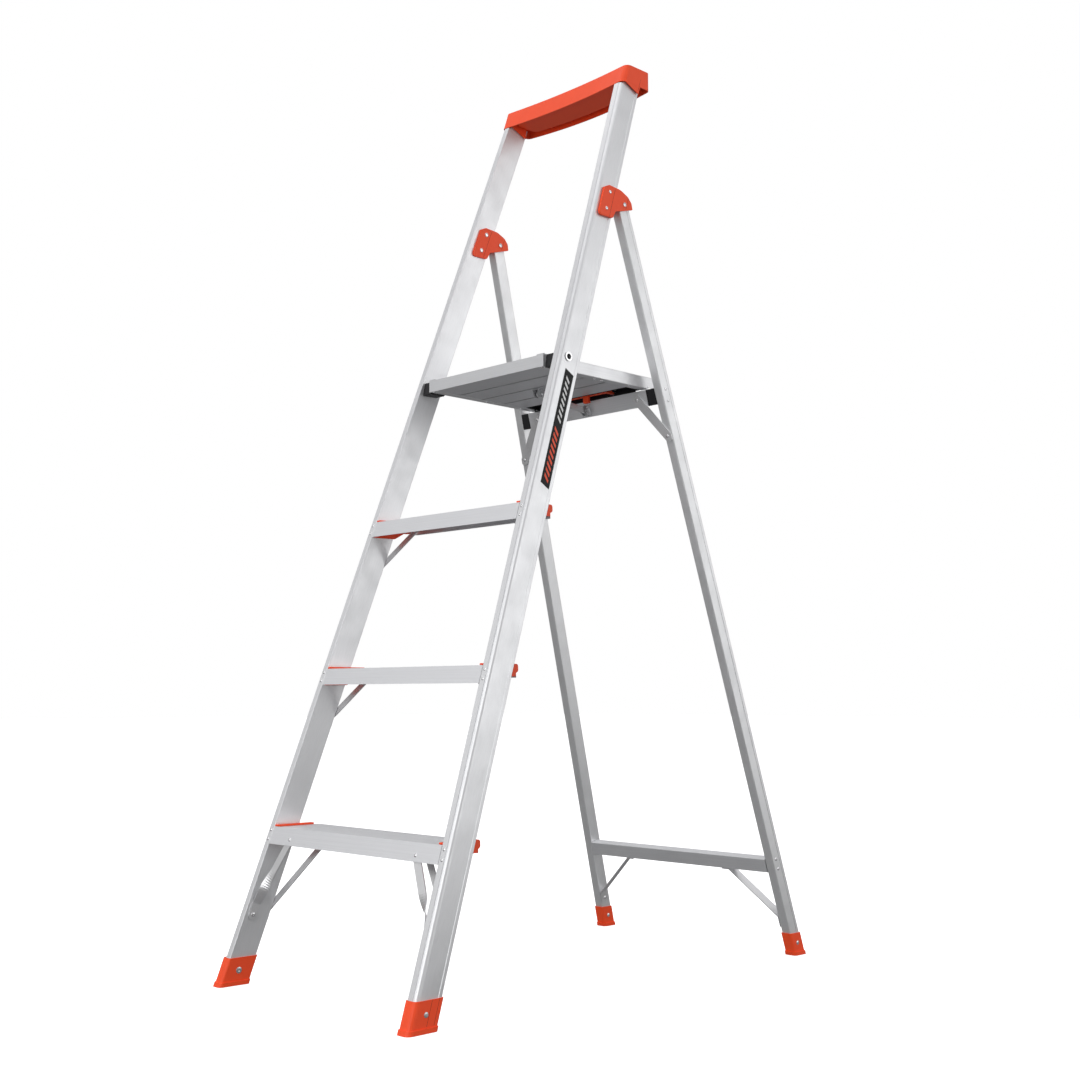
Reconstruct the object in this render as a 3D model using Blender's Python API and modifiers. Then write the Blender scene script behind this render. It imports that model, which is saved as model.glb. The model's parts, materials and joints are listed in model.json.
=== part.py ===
"""Platform step ladder: a front frame with three steps and a top cap, a folding rear frame, and a
flip-up platform tied to the rear frame by a link.

Metres, +Z up. Pieces are drawn from a point on the floor midway between the front stiles, under
their front faces, and the whole is then moved so that its origin is under the middle of its box.
-Y is the side that is climbed, +X and -X are the two sides. Every node is one closed solid.
"""

import math

import bmesh
import bpy
from mathutils import Matrix, Vector

# ---------------------------------------------------------------- driving dimensions
RISE = 0.288                 # height from one tread to the next
FIRST_STEP = 0.274           # top of the first tread
STEP_TOPS = [FIRST_STEP + RISE * i for i in range(3)]
DECK_TOP = 1.1425            # standing surface of the platform
LEAN = 0.346                 # the stiles lean back this much per metre of height
TAPER = 0.0548               # each stile comes inward this much per metre of height
HALF_FLOOR = 0.2517          # centre plane to a stile's inner face, at the floor

STILE_W, STILE_D, STILE_WALL = 0.0205, 0.0508, 0.0018
STILE_TOP = 1.868            # distance along the stile to its cut end
LEG_W, LEG_D, LEG_WALL = 0.0197, 0.0294, 0.0016
LEG_FLOOR_X, LEG_HINGE_X = 0.2590, 0.1820
REAR_FLOOR_Y = 0.9912        # the rear frame's front plane meets the floor here
REAR_SLOPE = (-0.2740, 0.9617)
HINGE_ALONG = 1.5269         # from the floor to the hinge, along the rear frame
FOLD_DEG = 34.0              # how far the rear frame swings in when the ladder is closed

MIDDLE = 0.5107              # the finished part is moved forward by this, to stand over its origin
GAP = 0.0004                 # running or resting gap between two pieces
PIVOT_Y, PIVOT_Z = 0.4135, 1.1333
PLAT_HALF, PLAT_FRONT, PLAT_REAR = 0.1650, 0.3920, 0.7060
PLAT_BOTTOM, EAR_TOP = 1.1195, 1.1445

ORANGE = (0.86, 0.10, 0.035, 1.0)
ALUMINIUM = (0.62, 0.63, 0.64, 1.0)
BLACK = (0.012, 0.012, 0.013, 1.0)
STEEL = (0.50, 0.51, 0.52, 1.0)

X_AXIS = Vector((1, 0, 0))
STILE_N = Vector((0, 1, -LEAN)).normalized()         # depth direction of a stile
REAR_E = Vector((0, REAR_SLOPE[0], REAR_SLOPE[1])).normalized()
REAR_M = Vector((0, REAR_E.z, -REAR_E.y))            # depth direction of the rear frame
REAR_ORIGIN = Vector((0, REAR_FLOOR_Y, 0))
HINGE = REAR_ORIGIN + REAR_E * HINGE_ALONG + REAR_M * (LEG_D / 2)

for old in list(bpy.data.objects):
    bpy.data.objects.remove(old, do_unlink=True)

ladder = bpy.data.collections.new("platform_step_ladder")
cutters = bpy.data.collections.new("cutters")
bpy.context.scene.collection.children.link(ladder)
bpy.context.scene.collection.children.link(cutters)


# ---------------------------------------------------------------- small tools
def finish(obj, colour, roughness, metallic):
    """Give a piece its own material."""
    material = bpy.data.materials.new(obj.name)
    material.use_nodes = True
    shader = material.node_tree.nodes["Principled BSDF"]
    shader.inputs["Base Color"].default_value = colour
    shader.inputs["Roughness"].default_value = roughness
    shader.inputs["Metallic"].default_value = metallic
    obj.data.materials.clear()
    obj.data.materials.append(material)
    return obj


def metal(obj):
    return finish(obj, ALUMINIUM, 0.38, 1.0)


def steel(obj):
    return finish(obj, STEEL, 0.32, 1.0)


def orange(obj):
    return finish(obj, ORANGE, 0.42, 0.0)


def black(obj):
    return finish(obj, BLACK, 0.5, 0.0)


def arc(cx, cy, radius, start, stop, steps):
    """Points on an arc, angles in degrees."""
    turns = [math.radians(start + (stop - start) * i / steps) for i in range(steps + 1)]
    return [(cx + radius * math.cos(t), cy + radius * math.sin(t)) for t in turns]


def rounded(corners, steps=3):
    """An outline whose corners (x, y, radius) are rounded."""
    points = []
    count = len(corners)
    for i, (x, y, radius) in enumerate(corners):
        here = Vector((x, y))
        if radius <= 0:
            points.append((x, y))
            continue
        back = (Vector(corners[i - 1][:2]) - here).normalized()
        ahead = (Vector(corners[(i + 1) % count][:2]) - here).normalized()
        half = back.angle(ahead) / 2
        middle = here + (back + ahead).normalized() * (radius / math.sin(half))
        begin = here + back * (radius / math.tan(half)) - middle
        end = here + ahead * (radius / math.tan(half)) - middle
        sweep = begin.angle_signed(end)
        for k in range(steps + 1):
            turn = Matrix.Rotation(-sweep * k / steps, 2)
            points.append(tuple(middle + turn @ begin))
    return points


def rectangle(x0, x1, y0, y1, radius=0.0, steps=3):
    return rounded([(x0, y0, radius), (x1, y0, radius), (x1, y1, radius), (x0, y1, radius)], steps)


def circle(cx, cy, radius, steps=20):
    return arc(cx, cy, radius, 0, 360, steps)[:-1]


def as_mesh(curve_object):
    """The mesh of a curve object, with its caps welded on."""
    graph = bpy.context.evaluated_depsgraph_get()
    mesh = bpy.data.meshes.new_from_object(curve_object.evaluated_get(graph))
    shell = bmesh.new()
    shell.from_mesh(mesh)
    bmesh.ops.remove_doubles(shell, verts=shell.verts, dist=1e-6)
    bmesh.ops.recalc_face_normals(shell, faces=shell.faces)
    shell.to_mesh(mesh)
    shell.free()
    return mesh


def prism(outline, start, stop):
    """A mesh of one outline drawn out along Z."""
    mesh = bpy.data.meshes.new("prism")
    shell = bmesh.new()
    flat = shell.faces.new([shell.verts.new((x, y, start)) for x, y in outline])
    drawn = bmesh.ops.extrude_face_region(shell, geom=[flat])
    moved = [item for item in drawn["geom"] if isinstance(item, bmesh.types.BMVert)]
    bmesh.ops.translate(shell, verts=moved, vec=(0, 0, stop - start))
    bmesh.ops.recalc_face_normals(shell, faces=shell.faces)
    shell.to_mesh(mesh)
    shell.free()
    return mesh


def tube(name, outlines, start, stop):
    """A mesh of an outline with holes drawn out along Z."""
    flat = bpy.data.curves.new(name, "CURVE")
    flat.dimensions = "2D"
    flat.fill_mode = "BOTH"
    flat.extrude = (stop - start) / 2
    for outline in outlines:
        spline = flat.splines.new("POLY")
        spline.points.add(len(outline) - 1)
        for point, (x, y) in zip(spline.points, outline):
            point.co = (x, y, 0, 1)
        spline.use_cyclic_u = True
    drawn = bpy.data.objects.new(name + "_outline", flat)
    ladder.objects.link(drawn)
    mesh = as_mesh(drawn)
    bpy.data.objects.remove(drawn, do_unlink=True)
    mesh.transform(Matrix.Translation((0, 0, (start + stop) / 2)))
    return mesh


def extrusion(name, outlines, start, stop, frame, group=ladder):
    """An outline (with holes after it) in the frame's XY plane, drawn out along its Z."""
    mesh = tube(name, outlines, start, stop) if len(outlines) > 1 else prism(outlines[0], start, stop)
    piece = bpy.data.objects.new(name, mesh)
    group.objects.link(piece)
    piece.matrix_world = frame
    mesh.set_sharp_from_angle(angle=math.radians(30))
    return piece


def axes(origin, x, y, z):
    """A frame from its origin and three unit directions."""
    frame = Matrix((x, y, z)).transposed().to_4x4()
    frame.translation = origin
    return frame


FLAT = Matrix.Identity(4)                                             # outline (x, y), up Z
ACROSS = axes(Vector((0, 0, 0)), Vector((0, 1, 0)), Vector((0, 0, 1)), X_AXIS)   # outline (y, z), along X
REAR_PLANE = axes(REAR_ORIGIN, REAR_M, REAR_E, X_AXIS)                # outline (depth, along), along X


def cutter(piece):
    piece.hide_render = True
    piece.display_type = "WIRE"
    return piece


def boolean(piece, other, operation="DIFFERENCE"):
    """Cut one piece with another, or join it."""
    step = piece.modifiers.new(operation.lower() + str(len(piece.modifiers)), "BOOLEAN")
    step.operation = operation
    step.solver = "EXACT"
    step.object = cutter(other)
    return piece


def drill(piece, centre, radius, reach, axis=X_AXIS):
    """A round hole through a point, along an axis."""
    side = axis.orthogonal().normalized()
    frame = axes(centre, side, axis.cross(side), axis)
    tool = extrusion(piece.name + "_drill", [circle(0, 0, radius, 24)], -reach, reach, frame, cutters)
    return boolean(piece, tool)


def strap(name, stations, thickness):
    """A flat bar through stations (point, half-width vector, normal), which may twist and bend."""
    mesh = bpy.data.meshes.new(name)
    shell = bmesh.new()
    rings = []
    for point, half, normal in stations:
        out = Vector(normal).normalized() * thickness / 2
        corners = [point - half - out, point + half - out, point + half + out, point - half + out]
        rings.append([shell.verts.new(c) for c in corners])
    for a, b in zip(rings, rings[1:]):
        for i in range(4):
            shell.faces.new((a[i], a[(i + 1) % 4], b[(i + 1) % 4], b[i]))
    shell.faces.new(rings[0])
    shell.faces.new(rings[-1])
    bmesh.ops.triangulate(shell, faces=shell.faces)
    bmesh.ops.recalc_face_normals(shell, faces=shell.faces)
    shell.to_mesh(mesh)
    shell.free()
    piece = bpy.data.objects.new(name, mesh)
    ladder.objects.link(piece)
    return piece


# ---------------------------------------------------------------- places on the front frame
def stile_axis(side):
    return Vector((-side * TAPER, LEAN, 1)).normalized()


def on_stile(side, off, depth, along):
    """A point by its distance outward from the inner face, back from the front face, and up the stile."""
    up = stile_axis(side)
    across = STILE_N.cross(up)
    return Vector((side * HALF_FLOOR, 0, 0)) + across * side * off + STILE_N * depth + up * along


def stile_frame(side, origin=None):
    up = stile_axis(side)
    start = Vector((side * HALF_FLOOR, 0, 0)) if origin is None else origin
    return axes(start, STILE_N.cross(up), STILE_N, up)


def inner_half(y, z):
    """Half the clear width between the stiles at a place."""
    along = (y * LEAN + z) / math.hypot(1, LEAN)
    return HALF_FLOOR - along * TAPER / math.hypot(1, LEAN)


def slide_to(piece, direction, low_z, high_z):
    """Cut a prism's ends level, by sliding their points along the prism's own direction."""
    world = piece.matrix_world
    middle = sum((world @ v.co for v in piece.data.vertices), Vector()) / len(piece.data.vertices)
    back = world.inverted()
    for vertex in piece.data.vertices:
        place = world @ vertex.co
        target = high_z if (place - middle).dot(direction) > 0 else low_z
        vertex.co = back @ (place + direction * ((target - place.z) / direction.z))
    return piece


def stile_outline(side, grow=0.0):
    """The stile's section: a front strip, a rounded outer corner, a flat web and a rear bead."""
    strip, inset, bend, bead = 0.0123, 0.0010, 0.0074, 0.0007
    web = STILE_W - bead
    half = [
        (-grow, -grow, 0.0010 + grow),
        (strip, -grow, 0),
        (strip, inset - grow, 0),
        (web + grow, inset - grow, bend + grow),
        (web + grow, STILE_D - 0.0075, 0),
        (web + bead + grow, STILE_D - 0.0070, 0),
        (web + bead + grow, STILE_D + grow, 0.0010 + grow),
        (-grow, STILE_D + grow, 0.0010 + grow),
    ]
    points = rounded(half, 4)
    return [(side * x, y) for x, y in points][::side]


def make_stile(side, label):
    wall = STILE_WALL
    far = STILE_W - 0.0007 - wall
    corners = [
        (wall, wall + 0.001, 0.0015), (far, wall + 0.001, 0.0058), (far, STILE_D - wall, 0.0015),
        (wall, STILE_D - wall, 0.0015),
    ]
    bore = rounded(corners, 3)
    bore = [(side * x, y) for x, y in bore][::side]
    stile = extrusion(
        f"front_stile_{label}", [stile_outline(side), bore], 0.02, STILE_TOP, stile_frame(side)
    )
    up = stile_axis(side)
    for vertex in stile.data.vertices:
        if vertex.co.z < 0.1:
            place = stile.matrix_world @ vertex.co
            vertex.co.z += (0.0105 - place.z) / up.z
    pivot = Vector((side * 0.2, PIVOT_Y, PIVOT_Z))
    drill(stile, pivot, 0.0068, 0.05)
    notch = rectangle(-0.01, 0.04, -0.01, 0.0064)
    above = extrusion(stile.name + "_notch", [notch], 1.8440, 1.9, stile_frame(side), cutters)
    if side < 0:
        above.data.transform(Matrix.Translation((-0.03, 0, 0)))
    boolean(stile, above)
    return metal(stile)


def make_front_foot(side, label):
    """A plastic boot: a sleeve round the stile over a wider tread."""
    up = stile_axis(side)
    frame = stile_frame(side)

    def shell(name, grow, low, high, group):
        body = extrusion(name, [foot_outline(side, grow)], 0.0, 0.05, frame, group)
        return slide_to(body, up, low, high)

    foot = shell(f"front_foot_{label}", 0.0026, 0.0, 0.0480, ladder)
    boolean(foot, shell(foot.name + "_sole", 0.0044, 0.0, 0.0075, cutters), "UNION")
    boolean(foot, shell(foot.name + "_pocket", GAP, 0.0095, 0.060, cutters))
    return orange(foot)


def foot_outline(side, grow):
    """The boot's section: the stile's without its steps."""
    corners = [
        (-grow, -grow, 0.0015 + grow),
        (STILE_W + grow, -grow, 0.0060 + grow),
        (STILE_W + grow, STILE_D + grow, 0.0015 + grow),
        (-grow, STILE_D + grow, 0.0015 + grow),
    ]
    return [(side * x, y) for x, y in rounded(corners, 4)][::side]


# ---------------------------------------------------------------- steps
TREAD_DEPTH, SKIRT, REAR_SKIRT, SHEET = 0.0925, 0.0300, 0.0200, 0.0020


def tread_outline():
    """Section of a tread in (y, z) from its front top edge: a grooved top and two skirts with lips."""
    lean = -SKIRT * LEAN
    lip = 0.0060
    points = [(0.0, 0.0), (0.0016, 0.0), (0.0019, -0.0005), (0.0028, -0.0005), (0.0031, 0.0)]
    points += [(0.0042, 0.0), (0.0048, 0.0)]
    y = 0.0110
    while y < TREAD_DEPTH - 0.009:
        points += [(y, 0.0), (y + 0.0006, -0.0007), (y + 0.0020, -0.0007), (y + 0.0026, 0.0)]
        y += 0.0085
    points += [
        (TREAD_DEPTH, 0.0),
        (TREAD_DEPTH, -REAR_SKIRT),
        (TREAD_DEPTH - lip, -REAR_SKIRT),
        (TREAD_DEPTH - lip, -REAR_SKIRT + 0.0016),
        (TREAD_DEPTH - SHEET, -REAR_SKIRT + 0.0016),
        (TREAD_DEPTH - SHEET, -SHEET),
        (0.0048, -SHEET),
        (0.0042, -SHEET),
        (SHEET, -SHEET),
        (lean + SHEET, -SKIRT),
        (lean, -SKIRT),
    ]
    return points[::-1]


def tread_end(y, z, front_y):
    """Where a tread ends across the ladder: at the stile in front, and at its end cap behind."""
    reach = inner_half(y, z) - GAP
    back = y - front_y
    if back > 0.0045:
        reach -= 0.0028
    return reach - max(0.0, back - 0.080)


def make_step(number, top):
    front_y = top * LEAN
    frame = ACROSS.copy()
    frame.translation = Vector((0, front_y, top))
    tread = extrusion(f"step_{number}", [tread_outline()], -0.2, 0.2, frame)
    for vertex in tread.data.vertices:
        y, z = front_y + vertex.co.x, top + vertex.co.y
        vertex.co.z = math.copysign(tread_end(y, z, front_y), vertex.co.z)
    return metal(tread)


def make_step_cap(number, top, side, label):
    """A plastic end cap: a plate on the stile, a lip over the tread and a plug under it."""
    front_y = top * LEAN
    frame = ACROSS.copy()
    frame.translation = Vector((0, front_y, top))

    def slab(name, outline, inner, outer, group):
        body = extrusion(name, [outline], -0.001, 0.001, frame, group)
        for vertex in body.data.vertices:
            reach = inner_half(front_y + vertex.co.x, top + vertex.co.y)
            vertex.co.z = side * (reach - (outer if vertex.co.z * side > 0 else inner))
        return body

    plate = rounded(
        [
            (0.0060, 0.0034, 0.0012),
            (0.0054, -0.0030, 0.001),
            (-0.0050, -0.0310, 0.001),
            (0.0455, -0.0305, 0.006),
            (0.0835, -0.0090, 0.004),
            (0.0835, 0.0034, 0.004),
        ]
    )
    lip = rectangle(0.0012, 0.0800, 0.0003, 0.0034, 0.001)
    plug = rounded(
        [(0.0060, -0.0025, 0.001), (0.0010, -0.0195, 0.001), (0.0780, -0.0180, 0.001), (0.0780, -0.0025, 0.001)]
    )
    cap = slab(f"step_{number}_cap_{label}", plate, 0.0027, GAP, ladder)
    boolean(cap, slab(cap.name + "_lip", lip, 0.0095, GAP, cutters), "UNION")
    boolean(cap, slab(cap.name + "_plug", plug, 0.0140, 0.0010, cutters), "UNION")
    return orange(cap)


def make_front_brace(side, label):
    """A twisted strap from the first step's front skirt to the stile's inner face."""
    top = STEP_TOPS[0]
    rivet_z = top - 0.0195
    behind = STILE_N * (SHEET + GAP + 0.0010)
    start = Vector((side * 0.178, rivet_z * LEAN, rivet_z)) + behind
    along_low = 0.1330
    inset = -(GAP + 0.0010)
    foot = on_stile(side, inset, 0.0155, along_low)
    bend = on_stile(side, inset, 0.0150, along_low + 0.020)
    up = stile_axis(side)
    slant = (bend - start).normalized()
    flush = (slant - STILE_N * slant.dot(STILE_N)).normalized()
    turn = slant.cross(STILE_N).normalized()
    half = 0.0085
    leave = start + flush * 0.012
    stations = [
        (start - flush * 0.009, turn * half * 0.6),
        (start - flush * 0.004, turn * half),
        (leave, turn * half),
    ]
    steps = 28
    for i in range(1, steps):
        late = max(0.0, (i / steps - 0.40) / 0.60)
        twist = math.radians(90 * late * late * (3 - 2 * late)) * side
        across = turn * math.cos(twist) - STILE_N * math.sin(twist)
        stations.append((leave.lerp(bend, i / steps), across * half))
    stations += [
        (bend, STILE_N * -side * half),
        (foot, STILE_N * -side * half),
        (foot - up * 0.005, STILE_N * -side * half * 0.9),
        (foot - up * 0.009, STILE_N * -side * half * 0.5),
    ]
    return metal(strap(f"step_1_front_brace_{label}", true_normals(stations), 0.0020))


def true_normals(stations):
    """Give each station (point, half-width) a normal square to its half-width and to the bar's run."""
    fixed = []
    for i, (point, half) in enumerate(stations):
        before = stations[max(i - 1, 0)][0]
        after = stations[min(i + 1, len(stations) - 1)][0]
        fixed.append((point, half, (after - before).cross(half).normalized()))
    return fixed


def make_rear_brace(number, top, drop, reach, side, label):
    """A strap from the stile's rear face up to a tab under the tread."""
    back = STILE_D + GAP + 0.0010
    up = stile_axis(side)
    low_along = (top - drop) * math.hypot(1, LEAN) + 0.0018
    middle = STILE_W / 2
    foot = on_stile(side, middle, back, low_along)
    bend = on_stile(side, middle, back, low_along + 0.010)
    under = top - SHEET - GAP - 0.0010
    knee_y = bend.y + (under - 0.004 - bend.z) * LEAN
    knee = Vector((side * reach, knee_y, under - 0.004))
    tab = Vector((side * (reach - 0.006), knee_y + 0.001, under))
    end = Vector((side * (reach - 0.026), knee_y + 0.001, under))
    half = 0.0065
    slant = (knee - bend).normalized()
    turn = slant.cross(STILE_N).normalized()
    flat = Vector((0, 1, 0))
    across = turn if turn.dot(X_AXIS) * side > 0 else -turn
    stations = [
        (foot - up * 0.008, X_AXIS * side * half),
        (foot, X_AXIS * side * half),
        (bend + up * 0.004, across * half),
        (knee - slant * 0.012, across * half),
        (tab, flat * half * (1 if across.dot(flat) > 0 else -1)),
        (end, flat * half * (1 if across.dot(flat) > 0 else -1)),
    ]
    return metal(strap(f"step_{number}_rear_brace_{label}", true_normals(stations), 0.0020))


# ---------------------------------------------------------------- top cap and hinge brackets
CAP_TOP, CAP_SKIRT, CAP_HALF = 1.7810, 1.7425, 0.1808
CAP_FRONT, CAP_REAR = 0.6160, 0.6860
BOW_FRONT, BOW_REAR = 0.008, 0.015


def cap_plan(inset, half, radius, front=0.0, rear=0.0):
    """Plan of the cap: a band that bows to the rear, more at its back than at its front."""
    y0, y1 = CAP_FRONT + inset + front, CAP_REAR - inset - rear
    corners = rectangle(-half, half, y0, y1, radius, 4)
    points = []
    for (ax, ay), (bx, by) in zip(corners, corners[1:] + corners[:1]):
        steps = 12 if abs(bx - ax) > 0.1 else 1
        points += [(ax + (bx - ax) * i / steps, ay + (by - ay) * i / steps) for i in range(steps)]
    bowed = []
    for x, y in points:
        share = (y - y0) / (y1 - y0)
        bow = BOW_FRONT + (BOW_REAR - BOW_FRONT) * share
        bowed.append((x, y + bow * max(0.0, 1 - (x / 0.17) ** 2)))
    return bowed


def lean_front(piece, depth):
    """Lean the front face back like the stiles, and leave the rear face upright."""
    for vertex in piece.data.vertices:
        x, y, z = vertex.co
        share = min(1.0, max(0.0, (CAP_FRONT + depth - y) / depth))
        vertex.co.y = y + LEAN * (z - CAP_TOP) * share
    return piece


def make_top_cap():
    cap = extrusion("top_cap", [cap_plan(0.0, CAP_HALF, 0.0108)], CAP_SKIRT, CAP_TOP, FLAT)
    lean_front(cap, 0.045)
    wall = 0.0023
    cavity = cap_plan(wall, CAP_HALF - wall, 0.0085)
    tray = cap_plan(0.0060, 0.1470, 0.012, rear=0.010)
    ceiling = CAP_TOP - 0.0024
    hollow = extrusion(
        "top_cap_hollow", [cavity, tray[::-1]], CAP_SKIRT - 0.02, ceiling, FLAT, cutters
    )
    boolean(cap, lean_front(hollow, 0.045))
    floor = CAP_SKIRT + 0.0040
    under = cap_plan(0.0050, 0.1600, 0.004, rear=0.002)
    below = extrusion("top_cap_below", [under], CAP_SKIRT - 0.03, floor, FLAT, cutters)
    boolean(cap, lean_front(below, 0.045))
    recess = cap_plan(0.0083, 0.1447, 0.010, rear=0.010)
    dish = extrusion("top_cap_dish", [recess], floor + 0.0022, CAP_TOP + 0.01, FLAT, cutters)
    boolean(cap, lean_front(dish, 0.045))
    for side in (1, -1):
        cheek = [
            on_stile(1, 0, 0.0075, 1.8489),
            on_stile(1, 0, 0.0485, 1.8462),
            on_stile(1, 0, 0.0485, 1.8700),
            on_stile(1, 0, 0.0075, 1.8640),
        ]
        outline = [(p.y, p.z) for p in cheek]
        start, stop = sorted((side * (CAP_HALF - 0.0021), side * (CAP_HALF - 0.0001)))
        boolean(cap, extrusion("top_cap_cheek", [outline], start, stop, ACROSS, cutters), "UNION")
        low = [on_stile(1, 0, 0.0022, 1.8489), on_stile(1, 0, 0.0485, 1.8458)]
        inside = [(p.y, p.z) for p in low] + [(0.6560, ceiling + 0.0008), (0.6172, ceiling + 0.0008)]
        start, stop = sorted((side * 0.1522, side * 0.1540))
        boolean(cap, extrusion("top_cap_inner_cheek", [inside], start, stop, ACROSS, cutters), "UNION")
    return orange(cap)


BRACKET_ALONG = 1.5835       # the hinge's place up the stile
HINGE_DEPTH = HINGE.dot(STILE_N)


def make_hinge_bracket(side, label):
    """A plastic saddle over the stile that holds the rear leg's top between two cheeks."""
    a = BRACKET_ALONG
    outline = rounded(
        [
            (0.0125, a - 0.0595, 0.007),
            (0.0512, a - 0.0455, 0.005),
            (0.0545, a - 0.0275, 0.001),
            (0.0980, a + 0.0040, 0.0015),
            (0.0915, a + 0.0155, 0.008),
            (0.0790, a + 0.0225, 0.012),
            (0.0560, a + 0.0245, 0.030),
            (0.0240, a + 0.0160, 0.003),
            (0.0125, a + 0.0050, 0.004),
        ],
        4,
    )
    frame = axes(
        Vector((side * HALF_FLOOR, 0, 0)), STILE_N, stile_axis(side), STILE_N.cross(stile_axis(side))
    )
    low, high = -0.0034, STILE_W + 0.0050
    start, stop = sorted((side * low, side * high))
    bracket = extrusion(f"hinge_bracket_{label}", [outline], start, stop, frame)
    slot = rectangle(-0.01, STILE_D + GAP, a - 0.1, a + 0.1)
    start, stop = sorted((side * -GAP, side * (STILE_W + GAP)))
    boolean(bracket, extrusion(bracket.name + "_slot", [slot], start, stop, frame, cutters))
    mouth = rectangle(0.0568, 0.12, a - 0.1, a + 0.1)
    start, stop = sorted((side * 0.0015, side * 0.0230))
    boolean(bracket, extrusion(bracket.name + "_mouth", [mouth], start, stop, frame, cutters))
    drill(bracket, Vector((side * 0.18, HINGE.y, HINGE.z)), 0.0034, 0.05)
    return orange(bracket)


def turned(name, profile, centre, axis, steps=16, ring=False):
    """A turned piece: a profile of (radius, along) about an axis, from its high end down, closed on itself in a ring."""
    mesh = bpy.data.meshes.new(name)
    count = len(profile)
    edges = [(i, (i + 1) % count) for i in range(count if ring else count - 1)]
    mesh.from_pydata([(radius, 0, along) for radius, along in profile], edges, [])
    piece = bpy.data.objects.new(name, mesh)
    ladder.objects.link(piece)
    side = axis.orthogonal().normalized()
    piece.matrix_world = axes(centre, side, axis.cross(side), axis)
    turn = piece.modifiers.new("turn", "SCREW")
    turn.axis = "Z"
    turn.angle = 2 * math.pi
    turn.screw_offset = 0
    turn.steps = turn.render_steps = steps
    turn.use_merge_vertices = True
    turn.merge_threshold = 0.00001
    turn.use_smooth_shade = False
    return piece


def headed_pin(name, radius, low, high, head, centre, axis=X_AXIS):
    """A solid rivet with a flat head on each end."""
    cap = 0.0016
    profile = [
        (0.0, high + cap), (head, high + cap * 0.6), (head, high), (radius, high),
        (radius, low), (head, low), (head, low - cap * 0.6), (0.0, low - cap),
    ]
    return steel(turned(name, profile, centre, axis))


def make_pivot_tube(side, label):
    """The hollow rivet that the platform turns on, flanged on the stile's outer face."""
    outer = inner_half(PIVOT_Y, PIVOT_Z) + STILE_W
    end = PLAT_HALF - 0.0175
    flange = outer + 0.0016
    bore, tube, lip = 0.0055, 0.0064, 0.0086
    profile = [
        (bore, flange), (lip, flange), (lip, outer + GAP), (tube, outer + GAP), (tube, end), (bore, end),
    ]
    centre = Vector((0, PIVOT_Y, PIVOT_Z))
    return steel(turned(f"platform_pivot_{label}", profile, centre, X_AXIS * side, 20, ring=True))


def make_spacer(side, label):
    """A block between the platform's side rail and the stile."""
    frame = ACROSS.copy()
    outline = rounded(
        [
            (0.3965, 1.1172, 0.001), (0.4330, 1.1172, 0.003), (0.4350, 1.1430, 0.003), (0.4000, 1.1430, 0.001),
        ]
    )
    block = extrusion(f"platform_spacer_{label}", [outline], -0.001, 0.001, frame)
    for vertex in block.data.vertices:
        reach = inner_half(vertex.co.x, vertex.co.y) - GAP
        vertex.co.z = side * (reach if vertex.co.z * side > 0 else PLAT_HALF + GAP)
    drill(block, Vector((side * 0.177, PIVOT_Y, PIVOT_Z)), 0.0068, 0.03)
    return black(block)


# ---------------------------------------------------------------- rear frame
def leg_axis(side):
    low = Vector((side * LEG_FLOOR_X, *(REAR_ORIGIN + REAR_M * (LEG_D / 2)).yz))
    high = Vector((side * LEG_HINGE_X, HINGE.y, HINGE.z))
    return low, (high - low).normalized(), (high - low).length


def leg_centre(z):
    """Half the distance between the legs' centre lines at a height."""
    return LEG_FLOOR_X + (LEG_HINGE_X - LEG_FLOOR_X) * z / HINGE.z


def leg_outline(side, grow=0.0):
    """The leg's section: a rounded tube with a groove down its outer face."""
    w, d = LEG_W / 2 + grow, LEG_D / 2 + grow
    corners = [(-w, -d, 0.0022 + grow), (w, -d, 0.0022 + grow)]
    if not grow:
        corners += [(w, 0.0050, 0), (w - 0.0009, 0.0055, 0), (w - 0.0009, 0.0066, 0), (w, 0.0071, 0)]
    corners += [(w, d, 0.0022 + grow), (-w, d, 0.0022 + grow)]
    return [(side * x, y) for x, y in rounded(corners, 3)][::side]


def make_leg(side, label):
    low, up, length = leg_axis(side)
    frame = axes(low, REAR_M.cross(up).normalized(), REAR_M, up)
    wall = LEG_WALL
    bore = rectangle(-LEG_W / 2 + wall, LEG_W / 2 - wall, -LEG_D / 2 + wall, LEG_D / 2 - wall, 0.001, 2)
    leg = extrusion(f"rear_leg_{label}", [leg_outline(side), bore], 0.02, length + 0.0065, frame)
    for vertex in leg.data.vertices:
        if vertex.co.z < 0.1:
            place = leg.matrix_world @ vertex.co
            vertex.co.z += (0.0105 - place.z) / up.z
    drill(leg, Vector((side * 0.18, HINGE.y, HINGE.z)), 0.0034, 0.05)
    return metal(leg)


def make_rear_foot(side, label):
    low, up, _ = leg_axis(side)
    frame = axes(low, REAR_M.cross(up).normalized(), REAR_M, up)

    def shell(name, grow, bottom, top, group):
        body = extrusion(name, [leg_outline(side, grow)], 0.0, 0.05, frame, group)
        return slide_to(body, up, bottom, top)

    foot = shell(f"rear_foot_{label}", 0.0024, 0.0, 0.0430, ladder)
    boolean(foot, shell(foot.name + "_sole", 0.0042, 0.0, 0.0070, cutters), "UNION")
    boolean(foot, shell(foot.name + "_pocket", GAP, 0.0095, 0.050, cutters))
    return orange(foot)


CROSS_LOW, CROSS_HIGH, CROSS_DEPTH = 1.1275, 1.1600, 0.0240
TIE_LOW, TIE_HIGH, TIE_DEPTH = 0.1678, 0.1953, 0.0200


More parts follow.
